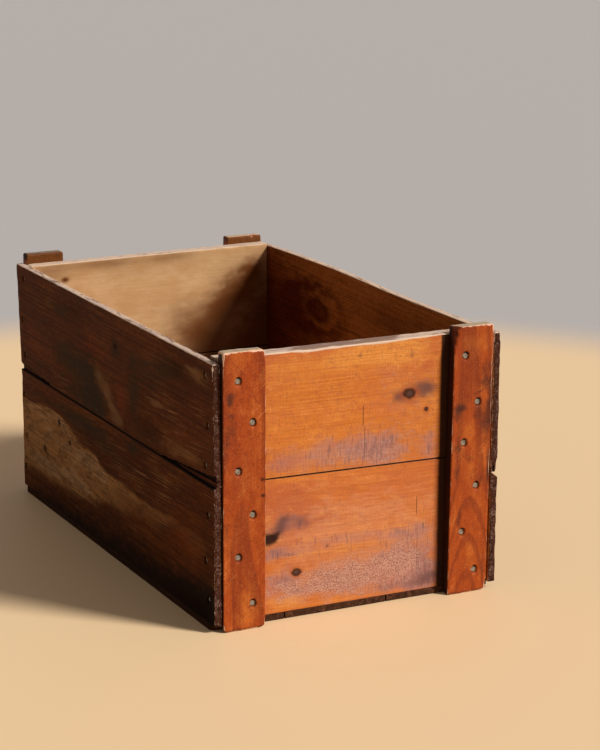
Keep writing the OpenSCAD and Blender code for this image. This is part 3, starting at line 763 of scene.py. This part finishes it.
boards = {
    "front_end_upper_board": dict(
        endBoard, outward="-y", edgeJoint="groove", seed=1, pith=(-30, -60, 0.05), lowFall=(fall, 0),
        topWear=1.6, bareTop=1.9, bareFace=2.4, chipBare=1.3,
        chips=[(130, 125, 48, 3, 0.9, "outer"), (96, 124, 12, 4, 0.5, "outer"),
               (176, 124, 16, 4, 0.6, "outer")],
        knots=[(205, 69, 5.4), (224, 51.5, 2.1)], cracks=[(154.5, 38, 66, 1.1), (156, 4, 46, 0.6)],
        pale=[(70, 82, 50, 34, 0.4), (110, 110, 90, 12, 0.5), (165, 114, 46, 12, 0.8),
              (200, 112, 30, 12, 0.8)],
        rosy=[(110, 18, 110, 26, 0.6), (180, 93, 22, 16, 0.6), (230, 84, 14, 20, 0.4)],
        rust=[(224, 95, 9, 9, 0.9), (180, 96, 14, 8, 0.4), (226, 40, 26, 20, 0.4), (64, 16, 30, 14, 0.8),
              (160, 80, 40, 16, 0.5)],
        grey=[(179, 19, 24, 18, 0.9), (148, 25, 20, 16, 0.5), (117, 20, 30, 16, 0.5), (229, 14, 9, 20, 0.7),
              (66, 16, 34, 12, 0.5), (150, 8, 90, 14, 0.3)],
        speckle=[(165, 14, 70, 20, 0.5), (205, 66, 40, 34, 0.3)],
        smudge=[(195, 66.5, 8, 7, 1.1), (223, 73, 14, 8, 1.25), (207, 107, 2.5, 5, 0.7),
                (150, 113, 3, 2.5, 0.8), (184, 34, 3, 16, 0.4), (205, 69, 15, 11, 0.3)],
        # painted shadow of the right batten, a dark strip about 8.5 mm wide, and a thin dark line beside the
        # left batten
        shadowAndDirtAlong=[(247.5, 8.5, 1.4), (46, 2, 0.4)],
    ),
    "front_end_lower_board": dict(
        endBoard, outward="-y", edgeJoint="tongue", seed=2, pith=(170, -50, -0.06), highFall=(0, fall),
        knots=[(83, 39, 3.8)], cracks=[(215, 76, 103, 0.75), (216, 12, 74, 0.52)],
        rosy=[(150, 70, 150, 60, 0.8), (70, 100, 40, 30, 0.5)],
        rust=[(86, 100, 44, 26, 0.7), (68, 114, 34, 20, 0.9), (70, 70, 24, 20, 0.4)],
        pale=[(72, 11, 24, 10, 1.0), (139, 55, 55, 5, 0.7), (222, 63, 5, 22, 0.6)],
        grey=[(138, 66, 85, 7, 0.6), (204, 60, 22, 8, 0.7), (191, 44, 36, 10, 0.45), (77, 91, 20, 10, 0.7),
              (58, 61, 14, 6, 0.8), (209, 8, 34, 8, 0.9), (170, 24, 70, 20, 0.4), (225, 30, 16, 34, 0.5),
              (75, 57, 26, 4, 0.6), (67, 34, 18, 9, 0.85), (226, 12, 18, 14, 0.7)],
        speckle=[(170, 25, 75, 22, 0.8), (115, 26, 40, 18, 0.7), (205, 40, 34, 22, 0.55),
                 (70, 24, 24, 15, 0.5), (110, 90, 60, 24, 0.3)],
        smudge=[(56, 77, 13, 10, 0.7), (65, 86, 6, 8, 0.9), (70, 95, 6, 5, 0.6), (75, 57, 22, 2.5, 0.5),
                (60, 62, 14, 4, 0.5), (73, 34, 8, 5, 0.6), (84, 91, 18, 9, 0.75), (85, 19, 12, 2, 0.6),
                (116, 61, 2.4, 2.2, 1.1), (228, 10, 13, 9, 0.85), (226, 30, 10, 14, 0.45),
                (186, 7, 30, 5, 0.4)],
        dark=[(50, 75, 12, 8, 0.95), (59, 76.5, 7, 5, 0.6), (64, 82, 4, 5, 0.45)],
        # painted shadow of the right batten, a dark strip about 8.5 mm wide, and a thin dark line beside the
        # left batten
        shadowAndDirtAlong=[(247, 8.5, 1.4), (46, 2, 0.4)],
    ),
    "rear_end_upper_board": dict(
        endBoard, outward="+y", edgeJoint="groove", seed=3, pith=(60, 70, 0.05), lowFall=(0, fall),
        topWear=1.2, bareTop=0.6, bareFace=3.5, topLine=[(0, 2.8), (292, 0)],
        knots=[(60, 40, 4), (240, 80, 3)], grey=[(150, 30, 90, 25, 0.6)], rust=[(60, 80, 50, 30, 0.6)],
        pale=[(200, 60, 60, 30, 0.6)], shadowAndDirtAlong=[(246, 6, 0.6), (46, 6, 0.6)],
        # painted shade: the right wall's shadow falling diagonally from the top right corner, and darker
        # corners
        innerShade=[(300, 35, 62, 75, 1.0), (271, 96, 15, 17, 0.52), (246, 74, 22, 20, 0.5),
                    (226, 52, 20, 20, 0.55), (205, 25, 26, 22, 0.45), (182, 46, 30, 26, 0.4),
                    (190, -10, 120, 36, 0.6), (20, 119, 26, 16, 0.46), (58, 122, 26, 10, 0.32),
                    (98, 120, 30, 10, 0.5), (168, 121, 44, 10, 0.5), (10, 70, 40, 40, 0.2),
                    (40, 104, 4, 3, 0.8), (115, 103, 95, 9, 0.2)],
    ),
    "rear_end_lower_board": dict(
        endBoard, outward="+y", edgeJoint="tongue", seed=4, pith=(-20, 60, -0.05), highFall=(fall, 0),
        knots=[(200, 60, 6)], grey=[(140, 30, 110, 30, 0.8)], rust=[(90, 80, 60, 30, 0.5)],
        shadowAndDirtAlong=[(246, 6, 0.6), (46, 6, 0.6)], darkAcross=[(0, 8, 0.5)],
        # painted shade, darker towards the bottom and the right corner
        innerShade=[(150, 20, 260, 60, 0.6), (292, 130, 120, 70, 0.9)],
    ),
    "front_left_batten": dict(
        batten, outward="-y", seed=5, pith=(20, -60, 0.02), bare=0.1, bareEnds=0.8,
        roundCorners=[(0, 0, 6.0), (0, 1, 7.0), (1, 0, 3.0), (1, 1, 6.0)], nails=["front_left_batten_nails"],
        smudge=[(228, 8, 7, 5, 0.8), (212, 9, 4, 4, 0.6), (176, 3, 20, 3, 0.5), (100, 3, 12, 3, 0.5),
                (196, 8, 12, 7, 0.4)],
        dark=[(147, 41, 2.5, 4, 0.9), (131, 41, 2.5, 4, 0.9)],
        pale=[(240, 34, 30, 8, 0.5), (22, 26, 34, 20, 0.85)],
        rust=[(200, 10, 50, 9, 0.5), (60, 6, 60, 6, 0.4), (150, 22, 60, 24, 0.52)],
        chips=[(270, 40, 8, 12, 1.6, "both"), (266, 3, 12, 5, 0.9, "outer")], chipBare=0.9,
    ),
    "front_right_batten": dict(
        batten, outward="-y", seed=6, pith=(24, -8, 0), lean=2.4, bare=0.1, bareEnds=0.5,
        roundCorners=[(0, 0, 3.0), (0, 1, 6.0), (1, 0, 3.0), (1, 1, 4.0)],
        arch=[(0, 3.3), (115, 20.3), (273, 23)], nails=["front_right_batten_nails"],
        smudge=[(192, 8, 5, 7, 0.8), (184, 4, 8, 4, 0.6), (190, 42, 24, 4, 0.8), (230, 36, 12, 7, 0.5),
                (214, 36, 9, 7, 0.55), (126, 6, 8, 4, 0.6), (80, 11, 14, 3, 0.6), (128, 42, 26, 3, 0.8),
                (30, 40, 30, 4, 0.4), (150, 7, 14, 6, 0.55), (140, 20, 8, 6, 0.45), (168, 36, 14, 7, 0.5),
                (186, 30, 12, 8, 0.45), (118, 30, 10, 8, 0.4)],
        dark=[(203.5, 24, 1.3, 3.2, 0.62), (205, 27.5, 1.3, 3.2, 0.62), (206.5, 31, 1.3, 3.2, 0.6),
              (208, 34.5, 1.3, 3.2, 0.55)],
        # the knocked-off corner is painted darker, as shade on a face turned from the light
        cornerCuts=[(273, 0, 27, 8.0, 9.0)], cutShade=0.75,
        rust=[(172, 34, 26, 10, 0.7), (240, 24, 34, 14, 0.6), (205, 12, 20, 12, 0.6)],
        pale=[(126, 22, 22, 10, 0.7), (210, 24, 20, 7, 0.5), (38, 26, 24, 12, 0.65), (256, 22, 16, 18, 0.8),
              (170, 18, 16, 14, 0.75)],
        chips=[(4, 44, 7, 7, 2.4, "both"), (210, 44, 40, 2, 0.7, "outer"), (130, 44, 18, 2, 0.7, "outer"),
               (235, 44, 5, 2, 1.0, "outer"), (212, 44, 4, 2, 1.0, "outer"), (268, 40, 8, 6, 0.8, "outer")],
        chipBare=0.8,
    ),
    "rear_left_batten": dict(
        batten, outward="+y", seed=7, pith=(10, -40, 0.03), rust=[(140, 20, 90, 14, 0.6)],
        nails=["rear_left_batten_nails"], narrowShadeAndDirt=(0.5, 0.5), shadowAndDirtAlong=[(0, 4, 0.6), (273, 6, 0.9)],
        bareEnds=-0.5,
    ),
    "rear_right_batten": dict(
        batten, outward="+y", seed=8, pith=(34, -36, 0.04), rust=[(90, 26, 60, 12, 0.6)],
        nails=["rear_right_batten_nails"], chips=[(272, 33, 4, 2.5, 4.0, "both")], narrowShadeAndDirt=(0.5, 0.5),
        shadowAndDirtAlong=[(0, 4, 0.6), (273, 6, 0.25)], bareEnds=-0.4,
    ),
    "left_side_upper_board": dict(
        sideBoard, outward="-x", edgeJoint="groove", seed=9, pith=(150, -70, 0.04), frontSlant=3,
        rearSlant=10, topWear=1.2, bareTop=1.0, bareFace=3.5, bareEnds=0.35,
        breakLines=[122.5, 124.0, 430.0, 431.5], nails=leftNails,
        lipBreaks=[(0, 123.5, 11.5, 1.8), (430.5, 530.5, 1.8, 7.4)], knots=[(239, 85, 2.6)],
        grey=[(390, 90, 56, 14, 0.7), (400, 46, 48, 22, 0.55), (345, 44, 48, 24, 0.65),
              (308, 32, 30, 22, 0.8), (290, 12, 28, 14, 0.8), (345, 10, 56, 12, 0.6), (239, 85, 18, 12, 0.9),
              (194, 46, 18, 28, 0.8), (105, 92, 44, 20, 0.7), (150, 66, 34, 18, 0.6), (170, 10, 44, 14, 0.6),
              (190, 84, 34, 14, 0.5)],
        rust=[(300, 72, 50, 18, 0.8), (226, 30, 16, 24, 0.9), (60, 40, 60, 26, 0.7), (475, 40, 40, 34, 0.7),
              (390, 24, 30, 12, 0.4), (30, 80, 40, 16, 0.5)],
        smudge=[(286, 45, 14, 11, 0.45), (266, 31, 16, 12, 0.55), (248, 18, 17, 11, 0.55),
                (230, 6, 17, 10, 0.45), (132, 50, 26, 5, 0.6), (54, 104, 18, 3, 0.6)],
        dark=[(505.5, 50, 14, 50, 0.35), (151, 18, 44, 20, 0.55), (82, 94, 34, 14, 0.55)],
        pale=[(75.5, 14, 60, 10, 0.4), (35.5, 100, 30, 8, 0.5)],
        speckle=[(75, 34, 60, 26, 1.0), (150, 50, 40, 9, 0.7), (330, 40, 40, 20, 0.5)],
    ),
    "left_side_lower_board": dict(
        sideBoard, outward="-x", edgeJoint="tongue", seed=10, pith=(66, -40, 0.10), nails=leftNails,
        bareEnds=0.5,
        # tongueLine: heights above which the tongue is painted black, as painted shadow in the gap under the
        # broken lip
        tongueLine=[(0, 5.6), (60, 3.0), (123, 0.4), (124, 9.0), (430, 9.0), (431, 0.4), (517, 5.0)],
        knots=[(404.5, 101, 2.4), (450.5, 60, 2.8), (373.5, 86, 2.2)],
        paleBands=[[(0, 62, 82, 0.08), (100, 58, 80, 0.22), (145, 52, 77, 0.3), (206, 48, 78, 0.46),
                    (256, 43, 83, 0.68), (302, 37, 87, 0.86), (368, 30, 98, 0.94), (404, 24, 109, 0.92),
                    (460, 23, 106, 0.88), (517, 20, 101, 0.82)],
                   [(145, 68, 77, 0.15), (190, 70, 78, 0.3), (233, 73, 82, 0.5), (282, 77, 87, 0.6),
                    (333, 84, 94, 0.6), (368, 89, 100, 0.5), (404, 98, 111, 0.3), (460, 96, 107, 0.2),
                    (517, 92, 103, 0.2)]],
        dark=[(200, -4, 220, 40, 1.05), (445, -8, 120, 18, 0.75), (18, 4, 76, 34, 1.0),
              (12, 84, 34, 60, 0.48)],
        grey=[(345, 120, 120, 9, 0.8), (270, 104, 90, 14, 0.6), (391, 69, 16, 9, 0.5), (278, 55, 20, 7, 0.6),
              (425, 55, 24, 5, 0.4), (194, 126, 18, 8, 0.9), (125, 60, 50, 14, 0.5), (60, 110, 50, 14, 0.5),
              (140, 24, 30, 9, 0.5)],
        rust=[(80, 66, 60, 26, 0.7), (445, 128, 60, 8, 0.5), (40, 139, 60, 5, 1.0), (485, 82, 34, 22, 0.9)],
        pale=[(317, 80, 30, 9, 0.5), (345, 45, 34, 8, 0.5), (440, 42, 50, 8, 0.6), (286, 72, 24, 7, 0.4)],
        speckle=[(240, 105, 100, 17, 1.0), (130, 98, 60, 20, 0.8)],
    ),
    "right_side_upper_board": dict(
        sideBoard, outward="+x", edgeJoint="groove", seed=11, pith=(40, 60, 0.08), topWear=1.2, bareTop=0.8,
        bareFace=3.4, bareEnds=0.6, cornerCuts=[(0, 0, 34, 18, 3.2)], nails=rightNails,
        topLine=[(0, 1.0), (60, 2.8), (150, 2.6), (220, 2.2), (270, 1.0), (340, 0.0), (440, 1.0),
                 (522, 2.6)],
        grey=[(200, 60, 120, 30, 0.7), (400, 100, 80, 24, 0.6)], rust=[(90, 90, 70, 30, 0.6)],
        innerRings=[(375, 90, 62, 25, 0.3), (375, 90, 44, 17, -0.26), (375, 90, 22, 9, 0.24)],
        # painted shade, darkest towards the rear corner; the rings draw a knot figure
        innerShade=[(520, 60, 120, 130, 0.95), (440, 89, 18, 12, 0.6), (385, 88, 62, 34, 0.58),
                    (300, 0, 260, 44, 0.62), (215, 108, 50, 16, 0.4), (150, 120, 60, 20, 0.25)],
    ),
    "right_side_lower_board": dict(
        sideBoard, outward="+x", edgeJoint="tongue", seed=12, pith=(120, 55, -0.05), nails=rightNails,
        bareEnds=0.45, brokenTongue=(34, 4.5), dark=[(260, 6, 300, 18, 0.7)], grey=[(150, 70, 100, 24, 0.7)],
        # painted shade on the inner face
        innerShade=[(400, 50, 260, 90, 0.65)],
        paleBands=[[(220, 40, 60, 0.0), (320, 30, 80, 0.8), (522, 26, 90, 0.9)]],
    ),
    "bottom_left_board": dict(
        bottomBoard, seed=13, pith=(30, 60, 0.03), roundCorners=[(0, 0, 7.0), (1, 0, 7.0)],
    ),
    "bottom_middle_board": dict(bottomBoard, seed=14, pith=(70, 50, -0.04)),
    "bottom_right_board": dict(
        bottomBoard, seed=15, pith=(20, 70, 0.05), roundCorners=[(0, 1, 7.0), (1, 1, 7.0)],
    ),
}
for name, board in boards.items():
    makeBoard(name, board, woods[board["slot"]])
print("boards made:", len(boards))


# Old wire nails: dull grey steel, darkened and lightly rusted, which scatters light broadly
def oldSteel(name, steel):
    material, tree, shader = newMaterial(name)
    here = addNode(tree, "TexCoord", out="Object")
    pitting = addNode(tree, "TexNoise", {"Vector": here, "Scale": 1 / (steel["pitMm"] * mm), "Detail": 4.0})
    share = addNode(tree, "MapRange", {0: pitting, 1: steel["rustFrom"], 2: steel["rustFull"]})
    tones = {6: hexColour(steel["metal"]), 7: hexColour(steel["rust"])}
    colour = addNode(tree, "Mix", {0: share, **tones}, **colours)
    smooth, rough = steel["roughness"]
    dull = addNode(tree, "MapRange", {0: pitting, 3: smooth, 4: rough})
    depth = {"Strength": steel["bump"], "Distance": steel["bumpMm"] * mm}
    bump = addNode(tree, "Bump", {"Height": pitting, **depth})
    setInputs(tree, shader, {"Base Color": colour, "Roughness": dull, "Normal": bump,
                             "Metallic": steel["metallic"]})
    return material


oldNails = {"metal": "#9c9484", "rust": "#6a5848", "rustFrom": 0.42, "rustFull": 0.66, "pitMm": 1.4,
            "bump": 0.3, "bumpMm": 0.2, "roughness": (0.4, 0.75), "metallic": 0.6}
nailSteel = oldSteel("dull_oxidised_steel", oldNails)
nailNodes = [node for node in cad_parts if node.endswith("_nails")]
for node in nailNodes:
    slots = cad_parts[node].data.materials
    slots.clear()
    slots.append(nailSteel)
print("nail groups dressed:", len(nailNodes))

# Plain pale floor, warm near the crate and grey further off
floor = {"size": 200.0, "near": "#e2c399", "far": "#aca8a7", "fadeFrom": 0.9, "fadeTo": 1.16,
         "roughness": 0.6}
floorMesh = bpy.data.meshes.new("floor")
half = floor["size"] / 2
corners = [(-half, -half, 0), (half, -half, 0), (half, half, 0), (-half, half, 0)]
floorMesh.from_pydata(corners, [], [(0, 1, 2, 3)])
floorPiece = addObject("floor", floorMesh)
floorMaterial, tree, shader = newMaterial("pale_floor")
here = addNode(tree, "TexCoord", out="Object")
reach = addNode(tree, "VectorMath", {0: here}, out="Value", operation="LENGTH")
fade = addNode(tree, "MapRange", {0: reach, 1: floor["fadeFrom"], 2: floor["fadeTo"]}, **eased)
tone = addNode(tree, "Mix", {0: fade, 6: hexColour(floor["near"]), 7: hexColour(floor["far"])}, **colours)
setInputs(tree, shader, {"Base Color": tone, "Roughness": floor["roughness"]})
floorMesh.materials.append(floorMaterial)

# Soft window light from the right, in front and above, and an even fill
light = {"toward": (0.52, -0.58, 0.625), "spread": 13.0, "strength": 4.2, "colour": (1.0, 0.97, 0.93),
         "away": 3.0, "fill": 0.26, "fillColour": "#fff5ed", "background": 0.44}
toward = Vector(light["toward"]).normalized()
lamp = bpy.data.lights.new("window", "SUN")
lamp.angle = math.radians(light["spread"])
lamp.energy = light["strength"]
lamp.color = light["colour"]
lampObject = addObject("window", lamp)
lampObject.location = toward * light["away"]
lampObject.rotation_mode = "QUATERNION"
lampObject.rotation_quaternion = (-toward).to_track_quat("-Z", "Y")

world = bpy.data.worlds.new("soft_room")
bpy.context.scene.world = world
world.use_nodes = True
tree = world.node_tree
seen = 0.0
for ray in ("Is Camera Ray", "Is Glossy Ray", "Is Transmission Ray"):
    seen = addNode(tree, "Math", {0: addNode(tree, "LightPath", out=ray), 1: seen}, operation="MAXIMUM")
strength = addNode(tree, "MapRange", {0: seen, 3: light["fill"], 4: light["background"]})
setInputs(tree, tree.nodes["Background"], {"Color": hexColour(light["fillColour"]), "Strength": strength})

# Camera at the photograph's viewing angle: yaw and pitch of the view, roll, and focal length in pixels
view = {"place": (-0.9953, -2.1063, 0.7604), "yaw": 26.8, "pitch": 14.07, "roll": -0.3, "focalPx": 2271.0,
        "longSidePx": 750.0, "sensor": 36.0, "farthest": 300.0}
yaw, pitch, roll = (math.radians(view[k]) for k in ("yaw", "pitch", "roll"))
forward = Vector((math.sin(yaw) * math.cos(pitch), math.cos(yaw) * math.cos(pitch), -math.sin(pitch)))
level = Vector((math.cos(yaw), -math.sin(yaw), 0))
down = forward.cross(level)
right = level * math.cos(roll) + down * math.sin(roll)
up = level * math.sin(roll) - down * math.cos(roll)
camera = bpy.data.cameras.new("camera")
camera.sensor_width = view["sensor"]
camera.lens = view["focalPx"] / view["longSidePx"] * view["sensor"]
camera.clip_end = view["farthest"]
cameraObject = addObject("camera", camera)
turn = Matrix((right, up, -forward)).transposed()
cameraObject.matrix_world = Matrix.Translation(view["place"]) @ turn.to_4x4()
bpy.context.scene.camera = cameraObject
bpy.context.scene.view_settings.view_transform = "Standard"
print("stage, light and camera set")
